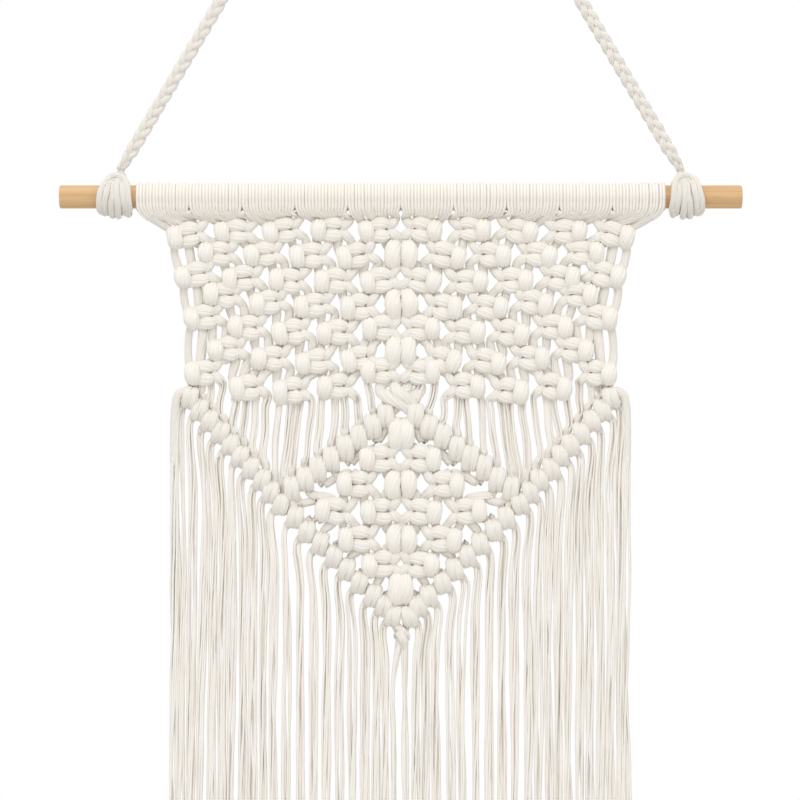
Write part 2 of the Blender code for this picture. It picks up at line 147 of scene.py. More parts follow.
CENTRE_TIE = table(
    (-9.6, 6.9, -0.8, -25, 6.0, 4.0), (-6.2, 2.5, -2.4, 0, 6.0, 3.4), (-3.4, -5.4, -2.0, 0, 6.4, 3.6),
    (-3.4, -8.2, 1.0, 20, 8.0, 4.2), (-4.8, -4.6, 4.2, 10, 10.0, 5.6), (-5.2, 0.2, 5.4, 0, 10.8, 6.2),
    (-4.6, 5.0, 4.0, -12, 9.8, 5.4), (-3.0, 7.8, 0.8, -20, 7.6, 4.2), (-3.6, 3.0, -2.2, 0, 5.8, 3.4),
    (-7.4, -4.5, -1.4, -25, 5.8, 3.6), (-10.2, -6.9, -0.2, -15, 6.0, 4.0),
)
CENTRE_FILLER = table(
    (-3.0, 6.5, 0.0, 0, 6.2, 4.2), (-2.6, 0.0, 0.2, 0, 5.4, 3.4), (-3.0, -6.5, 0.0, 0, 6.2, 4.2),
)
HITCH = table(
    (0.8, 8.8, -0.6, 0, 5.6, 3.8), (0.2, 1.0, -2.9, 0, 5.0, 3.0), (-1.8, -4.6, -2.2, 0, 5.2, 3.0),
    (-2.3, -6.8, 0.6, 0, 5.8, 3.4), (-2.3, -3.4, 3.6, 0, 6.4, 4.4), (-2.2, 1.6, 4.3, 0, 6.6, 4.8),
    (-2.1, 5.6, 1.8, 0, 5.8, 3.8), (-0.6, 3.2, -1.8, 0, 5.0, 3.0), (1.4, -4.4, -1.7, 0, 5.2, 3.0),
    (2.3, -6.7, 0.8, 0, 5.8, 3.4), (2.3, -3.2, 3.8, 0, 6.4, 4.4), (2.2, 1.8, 4.4, 0, 6.6, 4.8),
    (2.1, 5.8, 1.6, 0, 5.8, 3.8), (0.2, 2.6, -2.6, 0, 5.0, 3.0),
)
V_EXIT = table((-3.4, -5.0, -2.4, -25, 5.2, 3.4), (-5.0, -10.5, -0.9, 0, 5.4, 3.8))
CROWN_EXIT = table((1.8, -5.0, -2.4, 10, 5.4, 3.4), (2.6, -9.0, -0.8, 0, 5.8, 4.0))
HOLDING = Key(0.0, 0.0, 0.2, 45, 6.2, 4.4)  # a holding cord inside its hitches
CROWN_SLANT, V_SLANT, LINE_SLANT = 55, -45, -135
LINE_START = table(
    (-9.2, -6.0, 0.6, -8, 5.6, 3.8), (-7.0, 1.6, 1.6, -45, 6.2, 4.2), (-2.6, 3.6, 1.8, -95, 6.4, 4.4),
)
# The crossing's and the tip's keys are measured from the middle of the rod's axis.
CROSSING_OUTER = table(
    (-11.6, -120.5, 0.6, -8, 7.0, 4.6), (-12.2, -125.0, 1.6, 22, 7.6, 4.8),
    (-7.2, -129.8, 2.8, 48, 8.0, 5.0), (-0.2, -133.2, 3.2, 52, 7.6, 4.8),
    (5.8, -138.2, 1.4, 50, 6.4, 4.2),
)
CROSSING_INNER = table(
    (-3.0, -118.2, 0.8, -5, 7.2, 4.6), (-4.2, -121.6, 1.8, 12, 7.4, 4.8),
    (-2.4, -125.4, 3.4, 45, 7.8, 5.0), (2.8, -129.0, 3.2, 55, 7.2, 4.8), (8.0, -134.4, 1.4, 50, 6.4, 4.2),
)
TIP_OVER = table(
    (-3.4, -276.0, 1.6, -10, 5.0, 3.6), (0.6, -280.0, 3.4, 55, 5.2, 3.6),
    (3.6, -284.0, 1.6, 10, 5.0, 3.6), (1.2, -286.6, -2.2, -70, 4.6, 3.4),
    (-3.2, -284.6, -0.4, -10, 4.6, 3.4), (-1.4, -281.8, 3.6, 50, 5.4, 3.6),
    (1.6, -286.0, 4.2, 20, 5.8, 3.8), (2.0, -292.0, 1.2, 0, 4.8, 3.4),
)
TIP_CORE = table(
    (-4.0, -276.0, -0.6, -10, 4.8, 3.4), (-1.2, -284.0, 0.4, 0, 4.8, 3.4),
    (-2.2, -292.0, 0.6, 0, 4.8, 3.4),
)

CORDS = 20  # working cords on one side
KNOT_SPACING = 28.0  # the distance between knots that their tables suit
KNOT_SHIFT = 2.4 * MM  # the tables lean outwards by this much
KNOT_SIZES = (0.96, 1.06)
KNOT_TURN = (0.09, 0.06)  # mean and spread, in radians
CENTRE_KNOT, DIAMOND_KNOT = (1.0, 1.05), (1.06, 1.08)  # width and height against the tables
BULB = (0.64, 1.15)  # the diamond's top and bottom knots are narrow and tall
V_HITCH, V_TURN = (0.92, 0.97), 0.2
CROWN_HITCH, CROWN_TURN = (0.95, 1.12), 0.08
KNOT_DRIFT, KEY_DRIFT = 0.3, 0.2  # unevenness, in millimetres
PLUMPNESS = (0.95, 1.08)

MOUNT_ANGLES = (-105, -75, -45, -15, 15, 45, 75, 105, 135, 160, 185, 205)
MOUNT_SPREAD = 0.8  # how much of its distance from the first knot's middle a cord keeps
MOUNT_DEPTH = 2.6 * MM
WAY_DOWN = ((0.06, -6.6, 8.8, 1.0), (0.38, -10.4, 6.6, 0.86))  # share across, z, front, width

EXIT_SHIFT = 5.0 * MM  # how far outside its last hitch a cord hangs
FALL_SHARES = (0.12, 0.3, 0.55, 0.8, 1.0)
FALL_SPREAD = 1.012
FALL_SWAY, FALL_FRONT, FALL_TWIST = 0.4, 0.5, 0.3
FRINGE_WIDTHS, FRINGE_DEPTHS = (5.4, 6.6), (3.0, 3.8)
TIP_WIDTHS = (2.8, 3.4)
TIP_FALL = (-5.0 * MM, 3.0 * MM)  # where the cords below the tip knot hang
TIP_Z = -290 * MM
LINE_TAIL = 4.6 * MM  # the holding cord hangs this far outside the V
LOOSE_SHARES = (0.12, 0.5, 0.86)
LOOSE_SWAY, LOOSE_FRONT, LOOSE_TWIST = 0.5, (-0.2, 0.4), 0.15
LOOSE_CORD = (5.2 * MM, 3.6 * MM)
HITCH_TOP = 9 * MM
CROSSING_UNDER = 2.8  # the right side's pair crosses this far behind
HOLDING_APART = 1.3 * MM

# Random seeds: each knot, cord and tied end keeps its own unevenness.
NET_SEED, DIAMOND_SEED, ROW_SEED = 1000, 3000, 37
CORD_SEED, CORD_STEP = 5000, 100
STRAND_SEED, SIDE_SEED = 9000, 50
TIED_SEED = 70
ANY_PHASE = 6.3  # a little over one turn, in radians

LOOSE_SECTIONS = ("loose", "fringe")
PARTED_SECTIONS = ("heading", *LOOSE_SECTIONS)
RING_STEPS = {"fringe": 7.0, "loose": 4.0, "heading": 2.5}  # from ring to ring of a cord
KNOT_RING_STEP = 1.95
SHORTEST, TINY = 1e-6, 1e-9  # against division by 0


def row_places(row):
    """The x and z of each knot in a row, left to right, in metres from the rod's axis."""
    places = []
    for i in range(row.knots):
        share = 0.0 if row.knots == 1 else 2 * i / (row.knots - 1) - 1
        t = abs(share)
        drop = (row.drop_centre * (1 - t) * (1 - 2 * t) + row.drop_middle * 4 * t * (1 - t)
                + row.drop_edge * t * (2 * t - 1))
        places.append((share * row.half_span * MM, -drop * MM))
    return places


def line_places(line):
    """The x and z of each hitch on the left-hand line."""
    places = []
    for i in range(line.hitches):
        t = i / (line.hitches - 1)
        x = line.start_x + (line.end_x - line.start_x) * t
        drop = line.start_drop + (line.end_drop - line.start_drop) * t
        places.append((-x * MM, -drop * MM))
    return places


def v_places():
    """Every hitch of the left-hand V, from its top to the one above the tip knot."""
    return line_places(V_UPPER) + line_places(V_LOWER) + [(-x * MM, -d * MM) for x, d in V_FOOT]


class Route:
    """The keys that one working cord follows, each with its section, in metres."""

    def __init__(self, rng):
        self.rng = rng
        self.keys = []
        self.sections = []

    def add(self, x, z, front, across, width, depth, section):
        """One key, all lengths in metres and the angle in radians."""
        self.keys.append((x, PANEL_Y - front, ROD_Z + z, math.cos(across), 0.0, math.sin(across),
                          width, depth))
        self.sections.append(section)

    def tie(self, keys, place, section, scale=(1.0, 1.0), turn=0.0):
        """A knot's keys round its place, scaled, turned, and a little uneven."""
        dx, dz = self.rng.normal(0, KNOT_DRIFT, 2) * MM
        cos = math.cos(turn)
        sin = math.sin(turn)
        for key in keys:
            u = key.u * scale[0] * MM
            v = key.v * scale[1] * MM
            ex, ez, ef = self.rng.normal(0, KEY_DRIFT, 3) * MM
            x = place[0] + dx + ex + u * cos - v * sin
            z = place[1] + dz + ez + u * sin + v * cos
            plump = self.rng.uniform(*PLUMPNESS) * MM
            self.add(x, z, key.front * MM + ef, math.radians(key.across) + turn,
                     key.width * plump, key.depth * plump, section)


def smooth_line(keys, sections):
    """A centripetal Catmull-Rom line through the keys' places, which carries their other numbers."""
    ends = (2 * keys[0] - keys[1], 2 * keys[-1] - keys[-2])
    full = np.vstack([ends[0], keys, ends[1]])
    full[0, 3:] = keys[0, 3:]
    full[-1, 3:] = keys[-1, 3:]
    chords = np.linalg.norm(np.diff(full[:, :3], axis=0), axis=1)
    knots = np.concatenate([[0.0], np.cumsum(np.maximum(chords, SHORTEST) ** 0.5)])
    values = []
    owners = []
    for i in range(len(keys) - 1):
        step = RING_STEPS.get(sections[i + 1], KNOT_RING_STEP) * MM
        steps = max(1, math.ceil(chords[i + 1] / step))
        values.append(knots[i + 1] + (knots[i + 2] - knots[i + 1]) * np.arange(steps) / steps)
        owners += [i] * steps
    t = np.append(np.concatenate(values), knots[-2])[:, None]
    owners.append(len(keys) - 2)
    i = np.array(owners)
    t0, t1, t2, t3 = (knots[i + k][:, None] for k in range(4))
    p0, p1, p2, p3 = (full[i + k] for k in range(4))

    def blend(first, second, start, end):
        return (end - t) / (end - start) * first + (t - start) / (end - start) * second

    a1 = blend(p0, p1, t0, t1)
    a2 = blend(p1, p2, t1, t2)
    a3 = blend(p2, p3, t2, t3)
    b1 = blend(a1, a2, t0, t2)
    b2 = blend(a2, a3, t1, t3)
    line = blend(b1, b2, t1, t2)
    return line, [sections[k + 1] for k in owners[:-1]]


# ---- the cords' ways through the panel

def mount_on_rod(route, cord):
    """Round the rod from below, up the back, over the top, and down off the front."""
    pitch = HEADING_HALF / CORDS
    head_x = -HEADING_HALF + (cord + 0.5) * pitch
    ring = ROD_RADIUS + WOUND_LIFT
    for angle in MOUNT_ANGLES:
        turn = math.radians(angle)
        y = ring * math.cos(turn)
        z = ring * math.sin(turn)
        route.add(head_x, z, PANEL_Y - y, 0.0, pitch, MOUNT_DEPTH, "heading")
    first_knot = row_places(NET_ROWS[0])[cord // 4][0]
    knot_x = first_knot + (head_x - first_knot) * MOUNT_SPREAD
    for share, z, front, width in WAY_DOWN:
        x = head_x + (knot_x - head_x) * share
        route.add(x, z * MM, front * MM, 0.0, width * pitch, MOUNT_DEPTH, "heading")


def tie_in_row(route, cord, row, first, end, section, seed, centre):
    """This cord's part in a row of square knots that takes the cords from first up to end."""
    if cord < first:
        return
    places = row_places(row)
    if (end - first) % 4 and cord >= end - 2:
        keys = (CENTRE_TIE, CENTRE_FILLER)[cord - end + 2]
        route.tie(keys, places[len(places) // 2], section, centre)
        return
    knot, part = divmod(cord - first, 4)
    rng = np.random.default_rng(seed + knot)
    scale = DIAMOND_KNOT
    if section == "net":
        wide, tall = rng.uniform(*KNOT_SIZES, 2)
        width = 2 * row.half_span / (row.knots - 1) / KNOT_SPACING
        scale = (wide * width, tall)
    x, z = places[knot]
    route.tie(SQUARE_KNOT[part], (x + KNOT_SHIFT, z), section, scale, rng.normal(*KNOT_TURN))


def through_net(route, cord):
    """The seven rows of alternating square knots."""
    for i, row in enumerate(NET_ROWS):
        seed = NET_SEED + ROW_SEED * i
        tie_in_row(route, cord, row, 2 * (i % 2), CORDS, "net", seed, CENTRE_KNOT)


def through_diamond(route, cord):
    """The diamond's square knots that this cord is in."""
    end = CORDS - 2
    for i, row in enumerate(DIAMOND_ROWS):
        seed = DIAMOND_SEED + ROW_SEED * i
        centre = BULB if row.knots == 1 else (1.0, 1.0)
        tie_in_row(route, cord, row, end - 2 * row.knots, end, "diamond", seed, centre)


def fall(route, place, widths=FRINGE_WIDTHS):
    """A fringe cord from its last hitch to the level cut."""
    rng = route.rng
    start_x, start_z = place
    start_x -= EXIT_SHIFT
    reach = FRINGE_END - start_z
    end_x = start_x * FALL_SPREAD
    sway = rng.normal(0, FALL_SWAY, len(FALL_SHARES) - 1) * MM
    for i, share in enumerate(FALL_SHARES):
        x = start_x + (end_x - start_x) * share + sway[min(i, len(sway) - 1)]
        z = start_z + reach * share
        route.add(x, z, rng.normal(0, FALL_FRONT) * MM, rng.normal(0, FALL_TWIST),
                  rng.uniform(*widths) * MM, rng.uniform(*FRINGE_DEPTHS) * MM, "fringe")


def fall_below_tip(route, x, mirrored):
    """A thin fringe cord from the tip knot; x is where it hangs on the left-hand side."""
    fall(route, ((-x if mirrored else x) + EXIT_SHIFT, TIP_Z), TIP_WIDTHS)


def loosen(route, place):
    """Three keys between the last knot and a hitch, where the cord hangs open."""
    rng = route.rng
    last = route.keys[-1]
    x0 = last[0]
    z0 = last[2] - ROD_Z
    for share in LOOSE_SHARES:
        x = x0 + (place[0] - x0) * share + rng.normal(0, LOOSE_SWAY) * MM
        z = z0 + (place[1] + HITCH_TOP - z0) * share
        route.add(x, z, rng.normal(*LOOSE_FRONT) * MM, rng.normal(0, LOOSE_TWIST), *LOOSE_CORD,
                  "loose")


def working_cord(cord, mirrored):
    """One cord's whole way from the rod to the end of the fringe, on the left-hand side."""
    route = Route(np.random.default_rng(CORD_SEED + CORD_STEP * cord + mirrored))
    v_line = v_places()
    crown = line_places(CROWN_LINE)
    if cord == CORDS:
        line_cord(route, v_line, mirrored)
        return route
    mount_on_rod(route, cord)
    through_net(route, cord)
    if cord >= CORDS - 2:
        cross_over(route, cord == CORDS - 1, crown, v_line, mirrored)
        return route
    if cord < V_UPPER.hitches:
        place = v_line[cord]
        loosen(route, place)
    else:
        place = crown[CORDS - 3 - cord]
        loosen(route, place)
        route.tie(HITCH + CROWN_EXIT, place, "crown", CROWN_HITCH, CROWN_TURN)
        through_diamond(route, cord)
        place = v_line[cord + 1]
    route.tie(HITCH + V_EXIT, place, "v_row", V_HITCH, -V_TURN)
    fall(route, place)
    return route


def line_cord(route, v_line, mirrored):
    """The V's holding cord: its tail is the outermost fringe cord, and it ends at the tip."""
    x, z = v_line[0]
    tail = Route(route.rng)
    fall(tail, (x - LINE_TAIL, z))
    route.keys = tail.keys[::-1]
    route.sections = tail.sections
    for key in LINE_START:
        route.add(x + key.u * MM, z + key.v * MM, key.front * MM, math.radians(key.across),
                  key.width * MM, key.depth * MM, "v_row")
    for place in v_line:
        route.tie([HOLDING._replace(across=LINE_SLANT)], place, "v_row")
    route.tie(TIP_CORE if mirrored else TIP_OVER, (0.0, 0.0), "v_row")
    fall_below_tip(route, TIP_FALL[1], mirrored)


def cross_over(route, inner, crown, v_line, mirrored):
    """The innermost two cords cross to the other side and hold that side's crown hitches."""
    keys = CROSSING_INNER if inner else CROSSING_OUTER
    behind = CROSSING_UNDER if mirrored else 0.0
    beside = HOLDING_APART if inner else -HOLDING_APART
    route.tie([key._replace(front=key.front - behind) for key in keys], (0.0, 0.0), "crown")
    for x, z in crown:
        route.tie([HOLDING._replace(across=CROWN_SLANT)], (-x, z + beside), "crown")
    far_side = v_line[V_UPPER.hitches:]
    if inner:
        x, z = far_side[0]
        mirror = [key._replace(u=-key.u, across=-key.across) for key in HITCH + V_EXIT]
        route.tie(mirror, (-x, z), "v_row", V_HITCH, V_TURN)
        start = len(route.keys)
        fall(route, (x, z))
        route.keys[start:] = [(-key[0], *key[1:]) for key in route.keys[start:]]
        return
    for x, z in far_side:
        route.tie([HOLDING._replace(across=V_SLANT)], (-x + beside, z), "v_row")
    core = [key._replace(u=-key.u) for key in TIP_CORE]
    if not mirrored:
        core[-1] = TIP_CORE[-1]
    route.tie(core, (0.0, 0.0), "v_row")
    fall_below_tip(route, TIP_FALL[0], mirrored)


# ---- meshes

RIDGES = 8  # strands that show round a packed cord
RIDGE_SIDES = 3  # points round each ridge, the first in the groove
GROOVE = 0.6 * MM
RIDGE_LAY = 90 * MM  # length in which the ridges wind once round
TAPER = (0.5, 0.85)  # a packed cord closes where its strands part
TUCK = 3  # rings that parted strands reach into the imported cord
LOOSE, LOOSE_SIDES = 8, 5  # strands that an open cord falls into, and points round each
OPEN_LAY = 420 * MM
STRAND_SIZES = (0.92, 1.08)
WAVES_ACROSS, WAVES_OUT = (23 * MM, 9 * MM), (19 * MM, 8 * MM)
WAVE_SIZE = 0.3 * MM
WAVE_START = 40 * MM  # the waves grow to their full size over this length
WOUND, WOUND_SIDES = 4, 6  # strands in a cord's winding on the rod, and points round each
WOUND_RADIUS = 1.12 * MM
WOUND_LIFT = 0.8 * MM  # from the rod to the wound strands' middles
WOUND_DRIFT = (0.05, 0.14)  # along the rod and off it
UV_LENGTH = 10 * MM
ANY_ACROSS = (0.31, 0.95, 0.07)  # a direction that no cord runs in
_panel = []


def length_and_course(points):
    """Length so far and the direction along the line, at each of its points."""
    along = np.gradient(points, axis=0)
    along /= np.linalg.norm(along, axis=1)[:, None]
    length = np.concatenate([[0.0], np.cumsum(np.linalg.norm(np.diff(points, axis=0), axis=1))])
    return length, along


def cord_frames(line):
    """Length so far, and the directions across and through a flattened cord at each ring."""
    length, along = length_and_course(line[:, :3])
    across = line[:, 3:6] - along * np.sum(along * line[:, 3:6], axis=1)[:, None]
    across /= np.maximum(np.linalg.norm(across, axis=1), TINY)[:, None]
    return length, across, np.cross(along, across)


def carried_frames(points):
    """As cord_frames, for a bare line: the frame is carried along it without twist."""
    length, along = length_and_course(points)
    current = np.cross(along[0], ANY_ACROSS)
    across = np.empty_like(along)
    for i, direction in enumerate(along):
        current = current - direction * current.dot(direction)
        current /= math.sqrt(current.dot(current))
        across[i] = current
    return length, across, np.cross(along, across)


def waves(length, size, periods, phases):
    """A long wave along a strand, and a short one half its size."""
    long_wave = np.sin(length / periods[0] + phases[0])
    short_wave = np.sin(length / periods[1] + phases[1])
    return size * long_wave + size * short_wave * 0.5


def in_scene(name, data):
    """A new object in the scene."""
    thing = bpy.data.objects.new(name, data)
    bpy.context.scene.collection.objects.link(thing)
    return thing


class CordMesh:
    """Closed tubes joined in one mesh, with a UV map: strands round the tube, and its length."""

    def __init__(self):
        self.verts = []
        self.corners = []
        self.sizes = []
        self.uvs = []
        self.count = 0

    def tube(self, points, across, beside, length, ring_u):
        """One closed tube from its rings' two scaled directions, ring by ring."""
        sides = across.shape[1]
        self.verts.append((points[:, None] + across + beside).reshape(-1, 3))
        rows = np.arange(len(points) - 1)[:, None] * sides + self.count
        k = np.arange(sides)[None, :]
        after = (k + 1) % sides
        quads = np.stack([rows + k, rows + after, rows + sides + after, rows + sides + k], axis=2)
        self.corners.append(quads.reshape(-1))
        self.sizes += [4] * (quads.shape[0] * sides)
        u = np.stack([ring_u[:-1], ring_u[1:], ring_u[1:], ring_u[:-1]], axis=1)[None]
        v = np.stack([length[:-1], length[:-1], length[1:], length[1:]], axis=1)[:, None]
        u, v = np.broadcast_arrays(u, v)
        self.uvs.append(np.stack([u, v / UV_LENGTH], axis=3).reshape(-1, 2))
        last = self.count + (len(points) - 1) * sides
        self.corners.append(np.arange(sides)[::-1] + self.count)
        self.corners.append(np.arange(sides) + last)
        self.sizes += [sides] * 2
        for end in (length[0], length[-1]):
            self.uvs.append(np.full((sides, 2), (0.5, end / UV_LENGTH)))
        self.count += len(points) * sides

    def strand(self, points, radius, sides, start):
        """A plain round strand, whose length is counted on from a start."""
        length, across, beside = carried_frames(points)
        turn = np.arange(sides) / sides * math.tau
        self.tube(points, radius * np.cos(turn)[None, :, None] * across[:, None],
                  radius * np.sin(turn)[None, :, None] * beside[:, None], length + start,
                  np.arange(sides + 1) / sides)

    def packed(self, line, frames, phase, tapered=(False, False), ridges=RIDGES):
        """A packed cord: a flattened tube whose skin is the strands' ridges, slowly winding."""
        length, across, beside = frames
        sides = RIDGE_SIDES * ridges
        k = np.arange(sides)
        shrink = np.ones(len(line))
        if tapered[0]:
            shrink[:2] = TAPER
        if tapered[1]:
            shrink[-2:] = TAPER[::-1]
        turn = phase + k / sides * math.tau + length[:, None] / RIDGE_LAY * math.tau
        groove = np.where(k % RIDGE_SIDES == 0, GROOVE, 0.0)[None, :]
        half_width = (line[:, 6] / 2 * shrink)[:, None] - groove
        half_depth = (line[:, 7] / 2 * shrink)[:, None] - groove
        self.tube(line[:, :3], (half_width * np.cos(turn))[:, :, None] * across[:, None],
                  (half_depth * np.sin(turn))[:, :, None] * beside[:, None], length,
                  np.arange(sides + 1) / RIDGE_SIDES)

    def opened(self, line, frames, rng, radius):
        """An open cord: its strands apart, each with small waves of its own."""
        length, across, beside = frames
        for i in range(LOOSE):
            turn = math.tau * (i / LOOSE + length / OPEN_LAY) + rng.uniform(0, ANY_PHASE)
            phases = rng.uniform(0, ANY_PHASE, 4)
            size = np.minimum((length - length[0]) / WAVE_START, 1.0) * WAVE_SIZE
            side = (line[:, 6] / 2 - radius) * np.cos(turn) + waves(length, size, WAVES_ACROSS, phases[:2])
            lift = (line[:, 7] / 2 - radius) * np.sin(turn) + waves(length, size, WAVES_OUT, phases[2:])
            points = line[:, :3] + across * side[:, None] + beside * lift[:, None]
            self.strand(points, radius * rng.uniform(*STRAND_SIZES), LOOSE_SIDES, length[0])

    def wound(self, line, frames, rng, radius):
        """Strands side by side on the rod, as one cord's width of winding."""
        length, across, beside = frames
        pitch = line[:, 6] / WOUND
        for i in range(WOUND):
            side = (i - (WOUND - 1) / 2) * pitch + rng.normal(0, WOUND_DRIFT[0]) * MM
            lift = rng.normal(0, WOUND_DRIFT[1]) * MM
            points = line[:, :3] + across * side[:, None] + beside * lift
            self.strand(points, radius, WOUND_SIDES, length[0])

    def build(self, name, finish):
        """The object."""
        mesh = bpy.data.meshes.new(name)
        verts = np.concatenate(self.verts).astype(np.float32)
        corners = np.concatenate(self.corners).astype(np.int32)
        sizes = np.array(self.sizes, dtype=np.int32)
        mesh.vertices.add(len(verts))
        mesh.vertices.foreach_set("co", verts.ravel())
        mesh.loops.add(len(corners))
        mesh.loops.foreach_set("vertex_index", corners)
        mesh.polygons.add(len(sizes))
        starts = np.concatenate([[0], np.cumsum(sizes)[:-1]]).astype(np.int32)
        mesh.polygons.foreach_set("loop_start", starts)
        mesh.update(calc_edges=True)
        layer = mesh.uv_layers.new(name="strand")
        layer.data.foreach_set("uv", np.concatenate(self.uvs).astype(np.float32).ravel())
        mesh.validate()
        mesh.shade_smooth()
        mesh.materials.append(finish)
        return in_scene(name, mesh)


def panel_lines():
    """Every working cord of both sides: side, cord, its line and sections, and its frames."""
    if not _panel:
        for mirrored in (False, True):
            for cord in range(CORDS + 1):
                route = working_cord(cord, mirrored)
                line, owners = smooth_line(np.array(route.keys), route.sections)
                if mirrored:
                    line[:, (0, 3)] *= -1
                _panel.append((("left", "right")[mirrored], cord, line, owners, cord_frames(line)))
    return _panel


def add_section(work, section, wanted):
    """Add the sides' cords in one section, both ends of each stretch closed."""
    for side, cord, line, owners, frames in panel_lines():
        if side not in wanted:
            continue
        rng = np.random.default_rng(STRAND_SEED + cord + SIDE_SEED * (side == "left"))
        phase = rng.uniform(0, ANY_PHASE)
        for owner, stretch in groupby(range(len(owners)), key=owners.__getitem__):
            if owner != section:
                continue
            stretch = list(stretch)
            first, last = stretch[0], stretch[-1]
            if section in PARTED_SECTIONS:
                first = max(0, first - TUCK)
                last = min(len(owners) - 1, last + TUCK)
            part = slice(first, last + 2)
            piece = tuple(frame[part] for frame in frames)
            if section in LOOSE_SECTIONS:
                work.opened(line[part], piece, rng, sizes().strand / 2)
            elif section == "heading":
                work.wound(line[part], piece, rng, WOUND_RADIUS)
            else:
                before = first > 0 and owners[first - 1] in PARTED_SECTIONS
                after = last + 1 < len(owners) and owners[last + 1] in PARTED_SECTIONS
                work.packed(line[part], piece, phase, (before, after))


# ---- materials

YARN_TWIST = 1.1 * MM  # length of one turn of a strand's plies
COTTON_GROOVE_SHADE = 0.24  # how far the painted shade in the grooves between strands takes the colour towards cotton_shade
FIBRE_SCALE = 2400.0
PATCH_SCALE = 70.0
GRAIN_SCALE = (6.0, 260.0, 260.0)
FLECK_SCALE = (90.0, 900.0, 900.0)
BROAD_SCALE = 9.0
FLECK_SHADE = 0.72
RING_HEART = 21 * MM  # the tree's heart stands this far above the rod's axis
RING_TURNS = 3600.0  # radians of ring in a metre


def operation(kind, reflected=False):
    """A method of Value that adds a Math node, its sockets swapped when reflected."""
    def method(self, other=None):
        inputs = {0: self} if other is None else {int(reflected): self, int(not reflected): other}
        return self.paint.node("ShaderNodeMath", {"operation": kind}, inputs)[0]
    return method


class Value:
    """A socket that adds Math nodes when arithmetic is done on it."""

    __add__ = operation("ADD")
    __radd__ = operation("ADD", reflected=True)
    __sub__ = operation("SUBTRACT")
    __rsub__ = operation("SUBTRACT", reflected=True)
    __mul__ = operation("MULTIPLY")
    __rmul__ = operation("MULTIPLY", reflected=True)
    __pow__ = operation("POWER")
    sine = operation("SINE")
    root = operation("SQRT")
    size = operation("ABSOLUTE")

    def __init__(self, paint, socket):
        self.paint = paint
        self.socket = socket


class Paint:
    """A material's or a world's node tree, with one method that adds any node."""

    def __init__(self, owner, shader="Principled BSDF"):
        owner.use_nodes = True
        self.owner = owner
        self.tree = owner.node_tree
        self.shader = self.tree.nodes[shader]

    def node(self, kind, settings=None, inputs=None):
        """Add a node: its settings first, then its sockets' values or links. Gives its outputs."""
        made = self.tree.nodes.new(kind)
        for name, value in (settings or {}).items():
            if name == "stops":
                ramp = made.color_ramp
                while len(ramp.elements) < len(value):
                    ramp.elements.new(0.5)
                for element, (place, colour) in zip(ramp.elements, value):
                    element.position = place
                    element.color = (*colour, 1.0)
            else:
                setattr(made, name, value)
        for name, value in (inputs or {}).items():
            self.feed(made.inputs[name], value)
        return [Value(self, socket) for socket in made.outputs]

    def feed(self, socket, value):
        """Link or set one socket."""
        if isinstance(value, Value):
            self.tree.links.new(value.socket, socket)
        else:
            socket.default_value = value

    def finish(self, inputs):
        """Constants and links on the shader; gives the material or world."""
        for name, value in inputs.items():
            self.feed(self.shader.inputs[name], value)
        return self.owner

    def noise(self, place, scale, detail):
        """Fractal noise at a place."""
        return self.node("ShaderNodeTexNoise", None, {"Vector": place, "Scale": scale, "Detail": detail})[0]

    def stretch(self, place, scale):
        """A place with each direction scaled."""
        return self.node("ShaderNodeMapping", None, {"Vector": place, "Scale": scale})[0]

    def bump(self, strength, distance, height):
        """A normal raised by a height."""
        inputs = {"Strength": strength, "Distance": distance, "Height": height}
        return self.node("ShaderNodeBump", None, inputs)[0]

    def mix(self, factor, first, second, blend="MIX"):
        """Two colours mixed."""
        settings = {"data_type": "RGBA", "blend_type": blend}
        return self.node("ShaderNodeMix", settings, {0: factor, 6: first, 7: second})[2]


def cotton(name):
    """Twisted cotton strand: plies that wind round it, fine fibres, painted shade in the grooves between
    plies and between strands, and a soft sheen.
    """
    chosen = colours()
    paint = Paint(bpy.data.materials.new(name))
    uv = paint.node("ShaderNodeUVMap", {"uv_map": "strand"})[0]
    u, v, _ = paint.node("ShaderNodeSeparateXYZ", None, {0: uv})
    place = paint.node("ShaderNodeTexCoord")[3]
    ply = ((u * 2.0 + v * (UV_LENGTH / YARN_TWIST)) * math.tau).sine() * 0.5 + 0.5
    ridge = (u * math.tau).sine().size()
    fibre = paint.noise(place, FIBRE_SCALE, 2.0)
    patch = paint.noise(place, PATCH_SCALE, 3.0)
    # Painted shade: the colour goes towards cotton_shade in the grooves between plies and between strands;
    # the fibre noise adds real random tone.
    groove_shade_and_fibre = (1 - ply) * 0.25 + (fibre - 0.5) * 0.5 + (1 - ridge) ** 1.5 * COTTON_GROOVE_SHADE
    tone = paint.mix(groove_shade_and_fibre, (*chosen.cotton_light, 1.0), (*chosen.cotton_shade, 1.0))
    tone = paint.mix((patch - 0.35) * 1.2, tone, (*chosen.cotton_warm, 1.0), "MULTIPLY")
    return paint.finish({
        "Base Color": tone,
        "Roughness": fibre * 0.2 + 0.6,
        "Sheen Weight": 0.15,
        "Sheen Roughness": 0.4,
        "Specular IOR Level": 0.35,
        "Normal": paint.bump(0.7, 0.25 * MM, ply * 0.5 + fibre * 0.5 + ridge * 1.6),
    })


